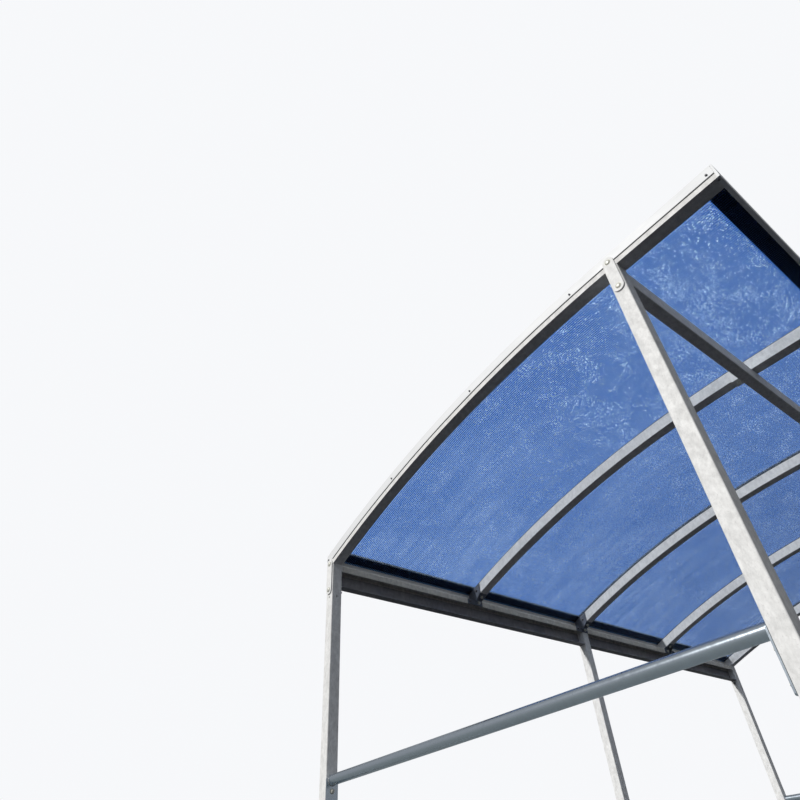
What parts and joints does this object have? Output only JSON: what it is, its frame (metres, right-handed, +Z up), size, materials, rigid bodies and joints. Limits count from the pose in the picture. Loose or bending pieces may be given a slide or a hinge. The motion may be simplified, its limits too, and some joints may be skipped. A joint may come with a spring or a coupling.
{
  "type": "bike shelter",
  "caption": "Open-fronted bike shelter: bent tube arches on posts carry a curved twin-wall roof sheet that falls to low eaves at the rear.",
  "frame": {"origin": "on the ground, in the middle of the footprint between the front roof edge and the rear foot plates", "axes": "+X along the shelter, to the right seen from the open front; +Y towards the low rear; +Z up"},
  "size_m": [4.45, 2.69, 2.45],
  "materials": {
    "post_steel": "hot-dip galvanised, spangled",
    "arch_steel": "hot-dip galvanised, dull",
    "beam_steel": "hot-dip galvanised, dull grey",
    "plate_steel": "hot-dip galvanised plate",
    "rail_steel": "smooth galvanised tube",
    "flashing_steel": "bright galvanised sheet metal",
    "clear_sheet": "clear twin-wall polycarbonate, lightly weathered",
    "gasket_rubber": "black rubber strip"
  },
  "bodies": {
    "root": {"eaves_channel_left": "beam_steel", "eaves_channel_right": "beam_steel", "eaves_cleat_left": "plate_steel", "eaves_cleat_middle": "plate_steel", "eaves_cleat_right": "plate_steel", "front_edge_flashing": "flashing_steel", "front_foot_plate_left": "plate_steel", "front_foot_plate_middle": "plate_steel", "front_foot_plate_right": "plate_steel", "front_joint_plate_left": "plate_steel", "front_joint_plate_right": "plate_steel", "front_post_left": "post_steel", "front_post_middle": "post_steel", "front_post_right": "post_steel", "front_purlin_left": "beam_steel", "front_purlin_right": "beam_steel", "gable_arch_left": "arch_steel", "gable_arch_right": "arch_steel", "gable_flashing_left": "flashing_steel", "gable_flashing_right": "flashing_steel", "inner_arch_left": "arch_steel", "inner_arch_right": "arch_steel", "lower_gaskets": "gasket_rubber", "middle_arch": "arch_steel", "purlin_cleat_left": "plate_steel", "purlin_cleat_middle": "plate_steel", "purlin_cleat_right": "plate_steel", "rear_edge_flashing": "flashing_steel", "rear_foot_plate_left": "plate_steel", "rear_foot_plate_middle": "plate_steel", "rear_foot_plate_right": "plate_steel", "rear_joint_plate_left": "plate_steel", "rear_joint_plate_right": "plate_steel", "rear_post_left": "post_steel", "rear_post_middle": "post_steel", "rear_post_right": "post_steel", "roof_sheet_left": "clear_sheet", "roof_sheet_right": "clear_sheet", "sheet_joint_strip": "flashing_steel", "side_rail_left": "rail_steel", "side_rail_right": "rail_steel", "upper_gasket": "gasket_rubber"}
  },
  "joints": []
}
